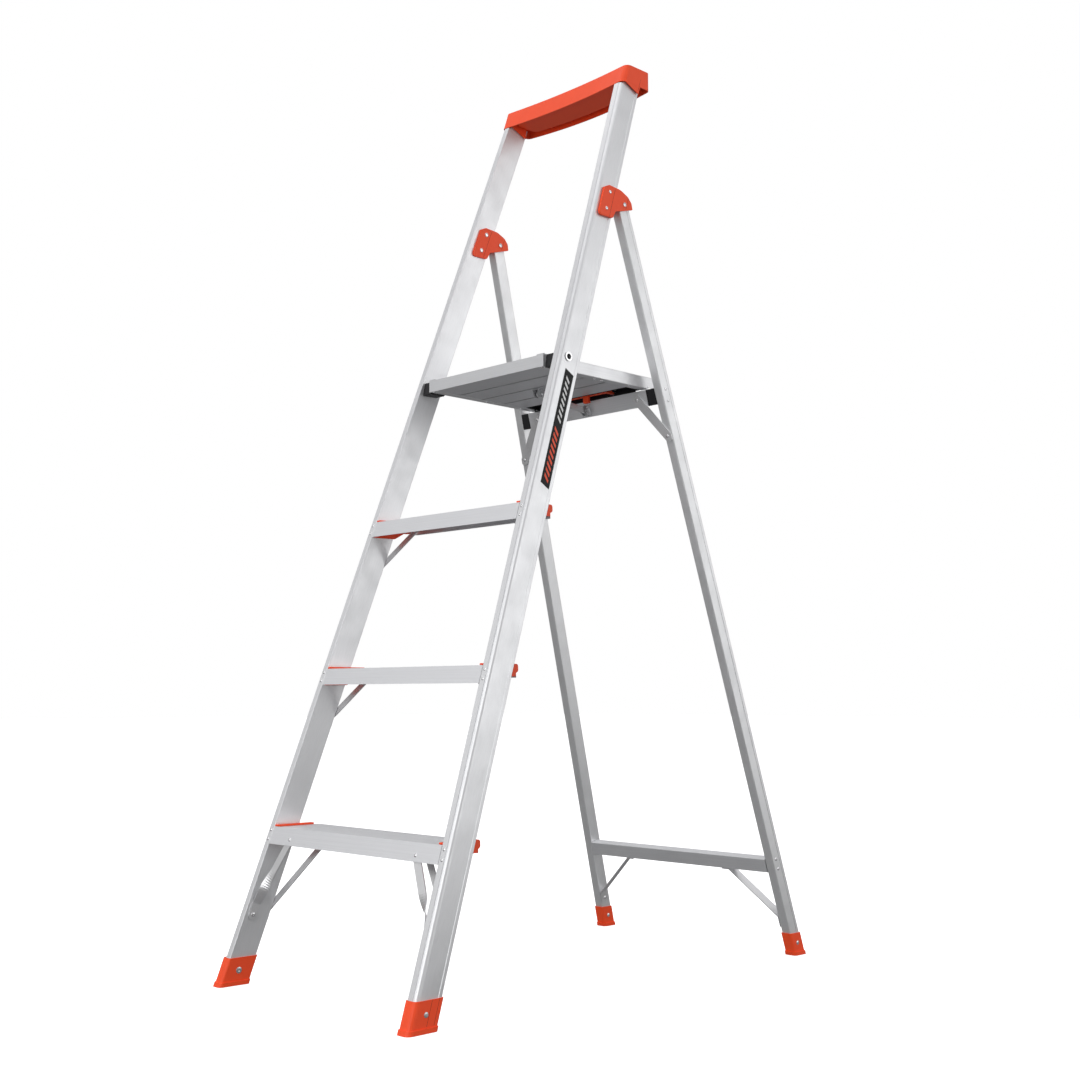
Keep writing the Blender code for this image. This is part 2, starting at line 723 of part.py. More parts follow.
def make_upper_crossbar():
    """A channel across the legs, open at the back, that the platform's rear end rests over."""
    wall, depth = 0.0020, CROSS_DEPTH
    outline = [
        (0.0, CROSS_LOW), (depth, CROSS_LOW), (depth, CROSS_LOW + 0.006), (depth - wall, CROSS_LOW + 0.006),
        (depth - wall, CROSS_LOW + wall), (wall, CROSS_LOW + wall), (wall, CROSS_HIGH - wall),
        (depth - wall, CROSS_HIGH - wall), (depth - wall, CROSS_HIGH - 0.006), (depth, CROSS_HIGH - 0.006),
        (depth, CROSS_HIGH), (0.0, CROSS_HIGH),
    ]
    return metal(extrusion("upper_crossbar", [outline], -0.1690, 0.1690, REAR_PLANE))


def make_crossbar_end(side, label):
    """A plastic block that joins the crossbar's end to a leg."""
    outline = rectangle(0.0, CROSS_DEPTH, CROSS_LOW - 0.0006, CROSS_HIGH + 0.0002, 0.0015, 2)
    block = extrusion(f"crossbar_end_{label}", [outline], -0.001, 0.001, REAR_PLANE)
    world = block.matrix_world
    for vertex in block.data.vertices:
        z = (world @ vertex.co).z
        reach = leg_centre(z) - LEG_W / 2 - 0.0007
        vertex.co.z = side * (reach if vertex.co.z * side > 0 else 0.1690 + GAP)
    return black(block)


def make_lower_crossbar():
    """A tube across the legs near the floor."""
    outer = rectangle(0.0, TIE_DEPTH, TIE_LOW, TIE_HIGH, 0.0012, 2)
    inner = rectangle(0.0016, TIE_DEPTH - 0.0016, TIE_LOW + 0.0016, TIE_HIGH - 0.0016, 0.001, 2)
    tie = extrusion("lower_crossbar", [outer, inner], -0.001, 0.001, REAR_PLANE)
    world = tie.matrix_world
    for vertex in tie.data.vertices:
        z = (world @ vertex.co).z
        reach = leg_centre(z) - LEG_W / 2 - 0.0007
        vertex.co.z = math.copysign(reach, vertex.co.z)
    return metal(tie)


def rear_point(x, depth, along):
    return REAR_ORIGIN + REAR_M * depth + REAR_E * along + X_AXIS * x


def make_upper_strap(side, label):
    """A flat strap on the front of the crossbar and a leg."""
    depth = -(GAP + 0.0010)
    high = rear_point(side * 0.1435, depth, 1.1430)
    low = rear_point(side * (leg_centre(1.021) - 0.001), depth, 1.0619)
    run = (low - high).normalized()
    half = run.cross(REAR_M).normalized() * 0.0100
    stations = [
        (high - run * 0.011, half * 0.5),
        (high - run * 0.006, half),
        (low + run * 0.004, half * 0.95),
        (low + run * 0.012, half * 0.35),
    ]
    return metal(strap(f"upper_strap_{label}", true_normals(stations), 0.0020))


def make_lower_strap(side, label):
    """A thin strap from under the lower crossbar to a leg's inner face."""
    under = TIE_LOW - GAP - 0.0009
    depth = 0.0105
    face = leg_centre(0.075) - LEG_W / 2 - GAP - 0.0009
    deep = REAR_M * 0.0095
    points = [
        rear_point(side * 0.1230, depth, under),
        rear_point(side * 0.1400, depth, under),
        rear_point(side * (face - 0.0006), depth, 0.0770),
        rear_point(side * (leg_centre(0.056) - LEG_W / 2 - GAP - 0.0009), depth, 0.0560),
    ]
    stations = [(point, deep) for point in points]
    return metal(strap(f"lower_strap_{label}", true_normals(stations), 0.0016))


# ---------------------------------------------------------------- platform
DECK_HALF, DECK_FRONT, DECK_REAR = 0.1464, 0.3960, 0.6870
FASCIA = 0.0032
RIBS_REAR = 0.6448                   # the ribs under the deck end here, ahead of the latch
HOUSING = (0.1454, 0.6452, 0.6850)   # half width, front and rear of the latch's housing


def make_side_rail(side, label):
    """A tube along the platform's side, relieved at the rear to sit over the crossbar."""
    x0, x1 = PLAT_HALF - 0.0180, PLAT_HALF
    frame = axes(Vector((0, 0, 0)), X_AXIS, Vector((0, 0, 1)), Vector((0, -1, 0)))
    outer = [(side * x, z) for x, z in rectangle(x0, x1, PLAT_BOTTOM, EAR_TOP, 0.0015, 2)][::side]
    inner = [
        (side * x, z)
        for x, z in rectangle(x0 + 0.002, x1 - 0.002, PLAT_BOTTOM + 0.002, EAR_TOP - 0.002, 0.0008, 2)
    ][::side]
    front = PLAT_FRONT + FASCIA + GAP
    rail = extrusion(f"platform_rail_{label}", [outer, inner], -PLAT_REAR, -front, frame)
    relief = rectangle(side * x0 - 0.03, side * x0 + 0.03, PLAT_BOTTOM - 0.01, PLAT_BOTTOM + 0.0039)
    boolean(rail, extrusion(rail.name + "_relief", [relief], -PLAT_REAR - 0.01, -0.6835, frame, cutters))
    drill(rail, Vector((side * 0.156, PIVOT_Y, PIVOT_Z)), 0.0068, 0.02)
    return metal(rail)


def make_front_rail():
    """The platform's front edge: a plate across both side rails, with an ear over each."""
    half, ear = PLAT_HALF, PLAT_HALF - 0.0180
    outline = [
        (-half, PLAT_BOTTOM), (half, PLAT_BOTTOM), (half, EAR_TOP), (ear, EAR_TOP),
        (ear, DECK_TOP), (-ear, DECK_TOP), (-ear, EAR_TOP), (-half, EAR_TOP),
    ]
    frame = axes(Vector((0, PLAT_FRONT, 0)), X_AXIS, Vector((0, 0, 1)), Vector((0, -1, 0)))
    return metal(extrusion("platform_front_rail", [outline], -FASCIA, 0.0, frame))


def make_deck():
    """The standing surface: one ribbed section, its ribs ending in broad feet below."""
    skin, web, foot, toe = 0.0020, 0.0020, 0.0572, 0.0018
    bottom = PLAT_BOTTOM + 0.0012
    count = 4
    pitch = (RIBS_REAR - DECK_FRONT) / count
    under = [(DECK_FRONT, DECK_TOP - skin)]
    for i in range(count):
        middle = DECK_FRONT + pitch * (i + 0.5)
        under += [
            (middle - web / 2, DECK_TOP - skin), (middle - web / 2, bottom + toe),
            (middle - foot / 2, bottom + toe), (middle - foot / 2, bottom),
            (middle + foot / 2, bottom), (middle + foot / 2, bottom + toe),
            (middle + web / 2, bottom + toe), (middle + web / 2, DECK_TOP - skin),
        ]
    under.append((DECK_REAR, DECK_TOP - skin))
    top = [(DECK_REAR, DECK_TOP)]
    y = DECK_REAR - 0.0080
    while y > DECK_FRONT + 0.010:
        top += [(y, DECK_TOP), (y - 0.0006, DECK_TOP - 0.0006), (y - 0.0022, DECK_TOP - 0.0006)]
        top += [(y - 0.0028, DECK_TOP)]
        y -= 0.0110
    top.append((DECK_FRONT, DECK_TOP))
    half = DECK_HALF - GAP
    return metal(extrusion("platform_deck", [under + top], -half, half, ACROSS))


LATCH_Y, LATCH_Z = 0.6755, 1.1290
LATCH_ARM = 0.0760           # half the distance between the lever's arms


def make_latch_housing():
    """A black tray under the deck's rear, open below, that holds the latch, with a bar that locates on the crossbar."""
    x, y0, y1 = HOUSING
    roof = DECK_TOP - 0.0020 - GAP
    housing = extrusion("latch_housing", [rectangle(-x, x, y0, y1, 0.001)], PLAT_BOTTOM + 0.0012, roof, FLAT)
    inside = rectangle(-x + 0.0022, x - 0.0022, y0 + 0.0018, y1 - 0.0018, 0.001)
    boolean(housing, extrusion("latch_room", [inside], PLAT_BOTTOM - 0.01, roof - 0.0020, FLAT, cutters))
    for side in (1, -1):
        ear = rectangle(LATCH_Y - 0.0050, LATCH_Y + 0.0050, LATCH_Z - 0.0050, roof - 0.0010, 0.001)
        start, stop = sorted((side * (LATCH_ARM + 0.0060), side * (LATCH_ARM + 0.0090)))
        boolean(housing, extrusion("latch_lug", [ear], start, stop, ACROSS, cutters), "UNION")
    reach, low, high = x - 0.0004, 1.1150, PLAT_BOTTOM + 0.0030
    bar = [
        (-reach, high), (-reach, low), (reach, low), (reach, high),
        (reach - 0.0016, high), (reach - 0.0016, low + 0.0022), (-reach + 0.0016, low + 0.0022), (-reach + 0.0016, high),
    ]
    frame = axes(Vector((0, 0.6718, 0)), X_AXIS, Vector((0, 0, 1)), Vector((0, -1, 0)))
    boolean(housing, extrusion("latch_rest_bar", [bar], 0.0, 0.0020, frame, cutters), "UNION")
    pin_way = [circle(LATCH_Y, LATCH_Z, 0.0024, 16)]
    return black(boolean(housing, extrusion("latch_pin_way", pin_way, -0.0880, 0.0880, ACROSS, cutters)))


def make_latch_lever():
    """The red release: a finger bar on side arms, with a hook beside the link that reaches the crossbar."""
    inner, outer = LATCH_ARM - 0.0040, LATCH_ARM + 0.0040
    front, back, rear = 0.6540, 0.6625, LATCH_Y + 0.0040
    bar = rounded(
        [(-outer, front, 0.003), (outer, front, 0.003), (outer, rear, 0.002), (inner, rear, 0.001),
         (inner, back, 0.002), (-inner, back, 0.002), (-inner, rear, 0.001), (-outer, rear, 0.002)]
    )
    lever = extrusion("latch_lever", [bar], 1.1215, 1.1270, FLAT)
    hook = rounded(
        [(front + 0.0003, 1.1260, 0.001), (front + 0.0003, 1.1085, 0.002), (0.6610, 1.1075, 0.001),
         (0.6610, 1.1110, 0.001), (0.6585, 1.1130, 0.001), (0.6585, 1.1260, 0.001)]
    )
    boolean(lever, extrusion("latch_hook", [hook], 0.0148, 0.0300, ACROSS, cutters), "UNION")
    for side in (1, -1):
        boss = rectangle(LATCH_Y - 0.0038, LATCH_Y + 0.0038, 1.1220, LATCH_Z + 0.0038, 0.002)
        start, stop = sorted((side * (inner + 0.0002), side * (outer - 0.0002)))
        boolean(lever, extrusion("latch_boss", [boss], start, stop, ACROSS, cutters), "UNION")
    bore = [circle(LATCH_Y, LATCH_Z, 0.0024, 16)]
    return orange(boolean(lever, extrusion("latch_bore", bore, -0.0860, 0.0860, ACROSS, cutters)))


def make_latch_pin():
    return steel(extrusion("latch_pin", [circle(LATCH_Y, LATCH_Z, 0.0020, 14)], -0.0870, 0.0870, ACROSS.copy()))


# ---------------------------------------------------------------- link between platform and rear frame
LINK_X = 0.006
LINK_REAR = 0.0850           # length of the rear leaf; the front leaf runs 19 mm past its end
LINK_B = Vector((0, 0.6690, 1.0955))
CLEVIS_Z = 1.1115


def turned_point(point, centre, degrees):
    """A point turned about an X axis through a centre, positive from +Y to +Z."""
    return centre + Matrix.Rotation(math.radians(degrees), 3, "X") @ (point - centre)


def clevis_point():
    """Where the link meets the platform, so that its length is the same open and closed."""
    pivot = Vector((0, PIVOT_Y, PIVOT_Z))
    flip = 90 - math.degrees(math.atan(LEAN))
    closed_b = turned_point(LINK_B, Vector((0, HINGE.y, HINGE.z)), -FOLD_DEG)
    unturned_b = turned_point(closed_b, pivot, -flip)
    gap = unturned_b - LINK_B
    level = (unturned_b.length_squared - LINK_B.length_squared) / 2
    return Vector((0, (level - CLEVIS_Z * gap.z) / gap.y, CLEVIS_Z))


LINK_A = clevis_point()


def link_bar(name, pin, far, length, low, high):
    """One leaf of the link: a flat bar with a round end at its pin."""
    run = (far - pin).normalized()
    half = 0.0060
    side = X_AXIS.cross(run)
    frame = axes(Vector((0, pin.y, pin.z)), run, side, X_AXIS)
    outline = arc(0, 0, half, 90, 270, 8) + arc(length - half, 0, half, -90, 90, 8)
    hole = circle(0, 0, 0.0030, 16)
    return steel(extrusion(name, [outline, hole[::-1]], low, high, frame))


def make_clevis():
    """A steel channel under the deck that holds the link's front pin."""
    outline = rounded(
        [(LINK_A.y - 0.0130, PLAT_BOTTOM + 0.0008, 0), (LINK_A.y - 0.0070, LINK_A.z - 0.0065, 0.004),
         (LINK_A.y + 0.0070, LINK_A.z - 0.0065, 0.004), (LINK_A.y + 0.0130, PLAT_BOTTOM + 0.0008, 0)]
    )
    clevis = extrusion("link_clevis", [outline], LINK_X - 0.0080, LINK_X + 0.0080, ACROSS)
    room = rectangle(LINK_A.y - 0.03, LINK_A.y + 0.03, LINK_A.z - 0.02, PLAT_BOTTOM - 0.0012)
    gap = extrusion("clevis_room", [room], LINK_X - 0.0060, LINK_X + 0.0060, ACROSS, cutters)
    boolean(clevis, gap)
    drill(clevis, Vector((LINK_X, LINK_A.y, LINK_A.z)), 0.0030, 0.02)
    return steel(clevis)


def make_link_bracket():
    """A steel bracket on the crossbar's front face that holds the link's rear pin."""
    rise, depth = LINK_B.dot(REAR_E) - REAR_ORIGIN.dot(REAR_E), (LINK_B - REAR_ORIGIN).dot(REAR_M)
    outline = rounded(
        [(-GAP, rise - 0.0120, 0), (depth - 0.0040, rise - 0.0085, 0.004),
         (depth - 0.0040, rise + 0.0085, 0.004), (-GAP, rise + 0.0120, 0)]
    )
    bracket = extrusion("link_bracket", [outline], LINK_X - 0.0080, LINK_X + 0.0080, REAR_PLANE)
    room = rectangle(-0.03, -0.0016, rise - 0.03, rise + 0.03)
    gap = extrusion("bracket_room", [room], LINK_X - 0.0060, LINK_X + 0.0060, REAR_PLANE, cutters)
    boolean(bracket, gap)
    drill(bracket, Vector((LINK_X, LINK_B.y, LINK_B.z)), 0.0030, 0.02)
    return steel(bracket)


def make_link():
    length = (LINK_A - LINK_B).length
    link_bar("link_bar_rear", LINK_B, LINK_A, LINK_REAR, LINK_X + 0.0003, LINK_X + 0.0035)
    link_bar("link_bar_front", LINK_A, LINK_B, length - LINK_REAR + 0.0190, LINK_X - 0.0035, LINK_X - 0.0003)
    for name, point in (("link_pin_front", LINK_A), ("link_pin_rear", LINK_B)):
        headed_pin(name, 0.0026, -0.0085, 0.0085, 0.0045, Vector((LINK_X, point.y, point.z)))


def make_leg_pin(side, label):
    """The pin through a hinge bracket and the top of a rear leg."""
    a = on_stile(side, -0.0034, HINGE_DEPTH, BRACKET_ALONG)
    b = on_stile(side, STILE_W + 0.0050, HINGE_DEPTH, BRACKET_ALONG)
    low, high = sorted((a.x, b.x))
    centre = Vector(((low + high) / 2, HINGE.y, HINGE.z))
    half = (high - low) / 2 + 0.0008
    return headed_pin(f"leg_hinge_pin_{label}", 0.0026, -half, half, 0.0041, centre)


# ---------------------------------------------------------------- assembly
SIDES = ((1, "right"), (-1, "left"))

for side, label in SIDES:
    make_stile(side, label)
    make_front_foot(side, label)
    make_hinge_bracket(side, label)
    make_leg_pin(side, label)
    make_spacer(side, label)
    make_pivot_tube(side, label)
    make_leg(side, label)
    make_rear_foot(side, label)
    make_crossbar_end(side, label)
    make_upper_strap(side, label)
    make_lower_strap(side, label)
    make_side_rail(side, label)
    make_front_brace(side, label)

BRACE_SIZES = ((0.146, 0.1300), (0.087, 0.1450), (0.082, 0.1300))
for number, (top, (drop, reach)) in enumerate(zip(STEP_TOPS, BRACE_SIZES), 1):
    make_step(number, top)
    for side, label in SIDES:
        make_step_cap(number, top, side, label)
        make_rear_brace(number, top, drop, reach, side, label)

make_top_cap()
make_upper_crossbar()
make_lower_crossbar()
make_front_rail()
make_deck()
make_latch_housing()
make_latch_lever()
make_latch_pin()
make_clevis()
make_link_bracket()
make_link()

bpy.context.view_layer.update()
for piece in list(ladder.objects) + list(cutters.objects):
    piece.matrix_world = Matrix.Translation((0, -MIDDLE, 0)) @ piece.matrix_world

# ---------------------------------------------------------------- what moves, and about what
REAR_NAMES = ("rear_leg", "rear_foot", "crossbar", "upper_strap", "lower_strap", "link_bracket", "link_pin_rear")
PLATFORM_NAMES = (
    "platform_rail", "platform_front_rail", "platform_deck", "latch_housing", "latch_pin", "link_clevis",
    "link_pin_front",
)


def joint_axis(name, point, words, parent=None):
    """An empty on a joint's axis, which its moving pieces and their cutters hang from."""
    empty = bpy.data.objects.new(name, None)
    empty.empty_display_size = 0.05
    ladder.objects.link(empty)
    bpy.context.view_layer.update()
    if parent:
        empty.parent = parent
        empty.matrix_parent_inverse = parent.matrix_world.inverted()
    empty.matrix_world = Matrix.Translation(Vector((0, point[0] - MIDDLE, point[1])))
    bpy.context.view_layer.update()
    moving = [piece for piece in ladder.objects if piece.type == "MESH" and any(w in piece.name for w in words)]
    tools = [step.object for piece in moving for step in piece.modifiers if step.type == "BOOLEAN"]
    for piece in moving + [tool for tool in tools if tool.parent is None]:
        place = piece.matrix_world.copy()
        piece.parent = empty
        piece.matrix_parent_inverse = empty.matrix_world.inverted()
        piece.matrix_world = place
    return empty


rear_fold = joint_axis("rear_fold_axis", (HINGE.y, HINGE.z), REAR_NAMES)
platform_flip = joint_axis("platform_flip_axis", (PIVOT_Y, PIVOT_Z), PLATFORM_NAMES)
joint_axis("link_rear_axis", (LINK_B.y, LINK_B.z), ("link_bar_rear",), rear_fold)
joint_axis("link_front_axis", (LINK_A.y, LINK_A.z), ("link_bar_front",), platform_flip)
joint_axis("latch_axis", (LATCH_Y, LATCH_Z), ("latch_lever",), platform_flip)
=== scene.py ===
"""Looks of the platform step ladder: materials, rivets, label, studio and camera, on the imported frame."""

import json
import math

import bmesh
import bpy
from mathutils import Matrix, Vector

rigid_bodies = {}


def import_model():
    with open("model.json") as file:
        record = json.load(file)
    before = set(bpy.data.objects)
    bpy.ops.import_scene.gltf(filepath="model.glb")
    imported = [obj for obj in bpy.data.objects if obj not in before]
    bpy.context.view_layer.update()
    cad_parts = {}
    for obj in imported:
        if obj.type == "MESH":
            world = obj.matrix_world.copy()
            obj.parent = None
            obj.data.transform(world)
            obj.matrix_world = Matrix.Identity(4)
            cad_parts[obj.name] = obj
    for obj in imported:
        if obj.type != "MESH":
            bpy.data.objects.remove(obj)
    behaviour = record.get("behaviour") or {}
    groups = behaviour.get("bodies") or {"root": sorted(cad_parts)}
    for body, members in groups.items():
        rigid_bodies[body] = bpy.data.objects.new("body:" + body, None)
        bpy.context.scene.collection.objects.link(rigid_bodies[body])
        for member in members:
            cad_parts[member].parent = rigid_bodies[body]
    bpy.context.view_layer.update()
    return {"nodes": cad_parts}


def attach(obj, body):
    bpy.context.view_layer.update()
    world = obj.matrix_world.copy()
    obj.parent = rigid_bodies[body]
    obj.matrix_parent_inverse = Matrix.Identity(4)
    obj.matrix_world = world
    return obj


for thing in list(bpy.data.objects):
    bpy.data.objects.remove(thing, do_unlink=True)

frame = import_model()


# ---------------------------------------------------------------- places
# The ladder's driving dimensions in metres. They count from under the middle of the front feet, and
# SHIFT carries a place from there into the frame.
SHIFT = Vector((0, -0.5107, 0))
X = Vector((1, 0, 0))
Z = Vector((0, 0, 1))
SIDES = (1, -1)                             # right, left

LEAN = 0.346                                # the stiles lean back by this much for each metre of height
TAPER = 0.0548                              # and come together by this much on each side
HALF_FLOOR = 0.2517                         # from the middle to a stile's inner face, at the floor
STILE_W, STILE_D = 0.0205, 0.0508
STEP_TOPS = (0.274, 0.562, 0.850)
N = Vector((0, 1, -LEAN)).normalized()      # back from the stiles' front faces

E = Vector((0, -0.2740, 0.9617)).normalized()   # up the rear legs
M = Vector((0, E.z, -E.y))                      # back from the rear legs' front faces
REAR = Vector((0, 0.9912, 0))                   # where the rear legs' front faces meet the floor
HINGE = REAR + E * 1.5269 + M * 0.0147
LEG_HALF_LOW, LEG_HALF_HIGH = 0.2590, 0.1820    # from the middle to a leg's, at the floor and the hinge
LEG_OUT = 0.00985                               # from a leg's middle to its outer face


def up_of(side):
    return Vector((-side * TAPER, LEAN, 1)).normalized()


def out_of(side):
    return N.cross(up_of(side)) * side


def on_stile(side, off, depth, along):
    """Outward from the inner face, back from the front face, up the stile."""
    base = Vector((side * HALF_FLOOR, 0, 0))
    return base + out_of(side) * off + N * depth + up_of(side) * along + SHIFT


def along_at(height):
    return height * math.hypot(1, LEAN)


def leg_centre(z):
    return LEG_HALF_LOW + (LEG_HALF_HIGH - LEG_HALF_LOW) * z / HINGE.z


def on_rear(x, depth, along):
    """Sideways from the middle, back from the rear legs' front faces, up the legs."""
    return REAR + M * depth + E * along + X * x + SHIFT


def leg_face(side, out, depth, z):
    """A point on a leg, sideways from its centre line."""
    along = (z + M.z * -depth) / E.z
    return on_rear(side * (leg_centre(z) + out), depth, along)


def here(x, y, z):
    return Vector((x, y, z)) + SHIFT


# ---------------------------------------------------------------- materials
GRAIN_HEIGHT = 0.0002
MIDDLE = (0.3, 0.7)                         # where most of a noise's values lie


def new_material(name):
    material = bpy.data.materials.new(name)
    material.use_nodes = True
    return material, material.node_tree


def noise(tree, place, scale, detail=2.0):
    node = tree.nodes.new("ShaderNodeTexNoise")
    node.inputs["Scale"].default_value = scale
    node.inputs["Detail"].default_value = detail
    tree.links.new(place, node.inputs["Vector"])
    return node.outputs["Fac"]


def mapped(tree, place, setting, value):
    """Coordinates that are turned (Rotation) or squeezed (Scale)."""
    node = tree.nodes.new("ShaderNodeMapping")
    node.inputs[setting].default_value = value
    tree.links.new(place, node.inputs["Vector"])
    return node.outputs["Vector"]


def ranged(tree, value, low, high, start=0.0, end=1.0):
    """A value taken from start..end to low..high."""
    node = tree.nodes.new("ShaderNodeMapRange")
    node.inputs["From Min"].default_value = start
    node.inputs["From Max"].default_value = end
    node.inputs["To Min"].default_value = low
    node.inputs["To Max"].default_value = high
    tree.links.new(value, node.inputs["Value"])
    return node.outputs["Result"]


def tinted(tree, colour, shade):
    """A colour made darker or lighter by a value."""
    node = tree.nodes.new("ShaderNodeVectorMath")
    node.operation = "SCALE"
    node.inputs[0].default_value = colour
    tree.links.new(shade, node.inputs["Scale"])
    return node.outputs["Vector"]


def bumped(tree, height, strength):
    node = tree.nodes.new("ShaderNodeBump")
    node.inputs["Strength"].default_value = strength
    node.inputs["Distance"].default_value = GRAIN_HEIGHT
    tree.links.new(height, node.inputs["Height"])
    return node.outputs["Normal"]


def surface(tree, colour, gloss, normal):
    """Links the three sockets to the shader and returns it."""
    shader = tree.nodes["Principled BSDF"]
    tree.links.new(colour, shader.inputs["Base Color"])
    tree.links.new(gloss, shader.inputs["Roughness"])
    tree.links.new(normal, shader.inputs["Normal"])
    return shader


def brushed(name, colour, turn=(0, 0, 0), rough=0.36, metallic=0.62, streak=0.06, fine=900.0):
    """Extruded or rolled aluminium: fine lines along local Z after turning, and a soft mottle."""
    material, tree = new_material(name)
    place = tree.nodes.new("ShaderNodeTexCoord").outputs["Object"]
    along = mapped(tree, mapped(tree, place, "Rotation", turn), "Scale", (1, 1, 0.006))
    lines = noise(tree, along, fine, detail=3.0)
    mottle = noise(tree, place, 26.0, detail=4.0)
    shade = ranged(tree, lines, 1.0 - streak, 1.0, *MIDDLE)
    gloss = ranged(tree, mottle, rough - 0.05, rough + 0.07, *MIDDLE)
    shader = surface(tree, tinted(tree, colour, shade), gloss, bumped(tree, lines, 0.05))
    shader.inputs["Metallic"].default_value = metallic
    shader.inputs["Specular IOR Level"].default_value = 0.5
    return material


def moulded(name, colour, rough=0.42, bump_by=0.08):
    """Moulded plastic with a fine grain and slight unevenness."""
    material, tree = new_material(name)
    place = tree.nodes.new("ShaderNodeTexCoord").outputs["Object"]
    shade = ranged(tree, noise(tree, place, 30.0), 0.94, 1.06)
    speck = noise(tree, place, 1400.0)
    gloss = ranged(tree, speck, rough - 0.06, rough + 0.06)
    shader = surface(tree, tinted(tree, colour, shade), gloss, bumped(tree, speck, bump_by))
    shader.inputs["Specular IOR Level"].default_value = 0.30
    return material


def printed(name, colour, rough=0.30):
    """A flat print, or a hairline, without grain."""
    return moulded(name, colour, rough, bump_by=0.0)


ALONG_STILE = (math.atan(LEAN), 0, 0)
ALONG_LEG = (math.atan2(-E.y, E.z), 0, 0)
CROSSWISE = (0, math.pi / 2, 0)
FORE_AND_AFT = (math.pi / 2, 0, 0)
SLANTED = (0.3, 0.5, 0)
STEEL_TURN = (0.2, 0.1, 0)

STILE = brushed("stile_aluminium", (0.80, 0.805, 0.82), ALONG_STILE)
LEG = brushed("leg_aluminium", (0.78, 0.785, 0.795), ALONG_LEG)
CROSSWAYS = brushed("cross_aluminium", (0.80, 0.805, 0.825), CROSSWISE)
DECK = brushed("deck_aluminium", (0.74, 0.745, 0.765), CROSSWISE, rough=0.40)
SIDE_RAIL = brushed("rail_aluminium", (0.80, 0.805, 0.82), FORE_AND_AFT)
FASCIA = brushed("front_rail_aluminium", (0.66, 0.665, 0.68), CROSSWISE)
STRAP = brushed("strap_aluminium", (0.80, 0.80, 0.81), SLANTED, rough=0.33, metallic=0.7)
ZINC = brushed("zinc_steel", (0.66, 0.665, 0.68), STEEL_TURN, rough=0.27, metallic=0.9, fine=600)
BRIGHT = brushed("bright_rivet", (0.86, 0.86, 0.87), STEEL_TURN, rough=0.22, metallic=0.9, fine=700)
ORANGE = moulded("orange_plastic", (1.0, 0.089, 0.023))
BLACK = moulded("black_plastic", (0.014, 0.014, 0.016), rough=0.45)
SEAM = printed("seam_shadow", (0.16, 0.022, 0.012), rough=0.6)
LABEL_BLACK = printed("label_black", (0.006, 0.006, 0.007), rough=0.55)
LABEL_ORANGE = printed("label_orange", (0.88, 0.09, 0.03))
LABEL_WHITE = printed("label_white", (0.80, 0.80, 0.80))


def material_for(node):
    if "foot" in node or "_cap" in node or "hinge_bracket" in node or node == "latch_lever":
        return ORANGE
    if node == "latch_housing" or "spacer" in node or "crossbar_end" in node:
        return BLACK
    if "stile" in node:
        return STILE
    if "rear_leg" in node:
        return LEG
    if "pivot" in node:
        return BRIGHT
    if node.startswith("link_bar"):
        return STRAP
    if "pin" in node or node.startswith("link"):
        return ZINC
    if "strap" in node or "brace" in node:
        return STRAP
    if "platform_rail" in node:
        return SIDE_RAIL
    if node == "platform_deck":
        return DECK
    if node == "platform_front_rail":
        return FASCIA
    return CROSSWAYS


for name, node in frame["nodes"].items():
    node.data.materials.clear()
    node.data.materials.append(material_for(name))


# ---------------------------------------------------------------- small shapes
SHARP = math.radians(40)
DOME_STEPS = 20
# A rivet head from its buried edge to the dimple in its middle: shares of its radius and its height.
DOME = (
    (1.0, -0.15), (1.0, 0.25), (0.93, 0.52), (0.78, 0.78),
    (0.55, 0.95), (0.34, 1.0), (0.26, 0.72), (0.0, 0.70),
)
PRINT = 0.00012                             # how thick a printed patch is


def add(name, shell, material, body, smooth=True):
    """Makes the shell a piece that rides on a body of the frame."""
    mesh = bpy.data.meshes.new(name)
    bmesh.ops.recalc_face_normals(shell, faces=shell.faces)
    shell.to_mesh(mesh)
    shell.free()
    if smooth:
        mesh.shade_smooth()
        mesh.set_sharp_from_angle(angle=SHARP)
    mesh.materials.append(material)
    piece = bpy.data.objects.new(name, mesh)
    bpy.context.scene.collection.objects.link(piece)
    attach(piece, body)
    return piece


def dome(shell, centre, normal, radius, height):
    """A low rivet head, with a short wall and a small dimple in its middle."""
    normal = normal.normalized()
    a = normal.orthogonal().normalized()
    b = normal.cross(a)
    rings = []
    for share, lift in DOME[:-1]:
        ring = []
        for k in range(DOME_STEPS):
            turn = 2 * math.pi * k / DOME_STEPS
            spoke = (a * math.cos(turn) + b * math.sin(turn)) * radius * share
            ring.append(shell.verts.new(centre + spoke + normal * height * lift))
        rings.append(ring)
    tip = shell.verts.new(centre + normal * height * DOME[-1][1])
    base = shell.verts.new(centre + normal * height * DOME[0][1])
    for low, high in zip(rings, rings[1:]):
        for k in range(DOME_STEPS):
            shell.faces.new((low[k - 1], low[k], high[k], high[k - 1]))
    for k in range(DOME_STEPS):
        shell.faces.new((rings[-1][k - 1], rings[-1][k], tip))
        shell.faces.new((rings[0][k], rings[0][k - 1], base))


def slab(shell, corners, lift):
    """A flat plate over a closed outline, lifted by a vector."""
    low = [shell.verts.new(p) for p in corners]
    high = [shell.verts.new(p + lift) for p in corners]
    shell.faces.new(low[::-1])
    shell.faces.new(high)
    for i in range(len(corners)):
        shell.faces.new((low[i - 1], low[i], high[i], high[i - 1]))


def heads(name, places, body, material=BRIGHT):
    """One piece that holds every head of a body: (centre, normal, (radius, height))."""
    shell = bmesh.new()
    for centre, normal, size in places:
        dome(shell, centre, normal, *size)
    add(name, shell, material, body)


